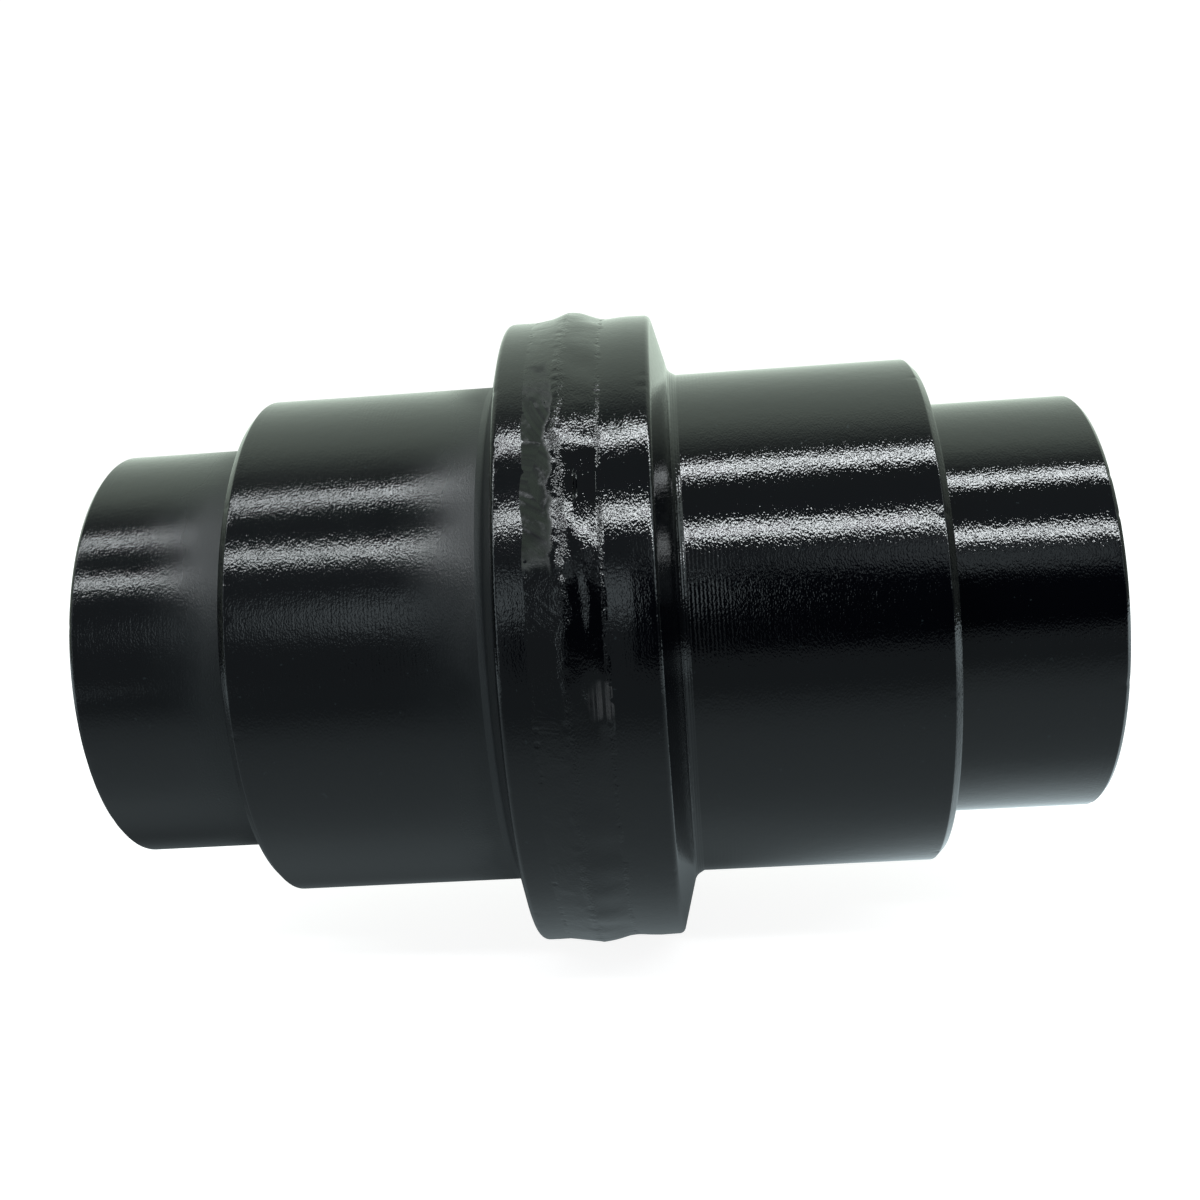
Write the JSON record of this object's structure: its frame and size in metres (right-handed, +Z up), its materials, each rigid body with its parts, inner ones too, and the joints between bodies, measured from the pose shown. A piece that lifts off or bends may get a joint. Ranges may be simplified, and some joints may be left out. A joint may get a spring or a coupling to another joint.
{
  "type": "track roller",
  "caption": "Centre-flange bottom track roller: a welded pair of treaded halves turning on bushes over a fixed shaft with cylindrical bolt-on end collars.",
  "frame": {"origin": "the roller's centre: on the axis of rotation, midway between the two collar end faces", "axes": "+Y along the axis of rotation towards the right end, +Z up, +X away from the side that the lock pins are driven from"},
  "size_m": [0.126, 0.189, 0.126],
  "materials": {
    "black_paint": "gloss black enamel with a fine orange peel over turned and forged steel",
    "painted_weld": "black enamel over a dressed weld, matter than the turned faces",
    "shaft_steel": "ground running surfaces, black paint on the end faces",
    "pin_steel": "ground",
    "plug_steel": "steel plug under black paint",
    "bronze": "bored bearing bronze",
    "seal_iron": "cast with a lapped sealing face",
    "seal_rubber": "moulded nitrile"
  },
  "bodies": {
    "axle": {"shaft": "shaft_steel", "oil_plug": "plug_steel", "collar_left": "black_paint", "collar_right": "black_paint", "lock_pin_left": "pin_steel", "lock_pin_right": "pin_steel", "shaft_o_ring_left": "seal_rubber", "shaft_o_ring_right": "seal_rubber", "seal_ring_collar_left": "seal_iron", "seal_ring_collar_right": "seal_iron", "toric_collar_left": "seal_rubber", "toric_collar_right": "seal_rubber"},
    "roller": {"roller_half_left": "black_paint", "roller_half_right": "black_paint", "weld_bead": "painted_weld", "bush_left": "bronze", "bush_right": "bronze", "seal_ring_roller_left": "seal_iron", "seal_ring_roller_right": "seal_iron", "toric_roller_left": "seal_rubber", "toric_roller_right": "seal_rubber"}
  },
  "joints": [
    {"name": "roller_spin", "type": "hinge", "parent": "axle", "child": "roller", "pos_m": [0, 0, 0], "axis": [0, 1, 0], "continuous": true}
  ]
}
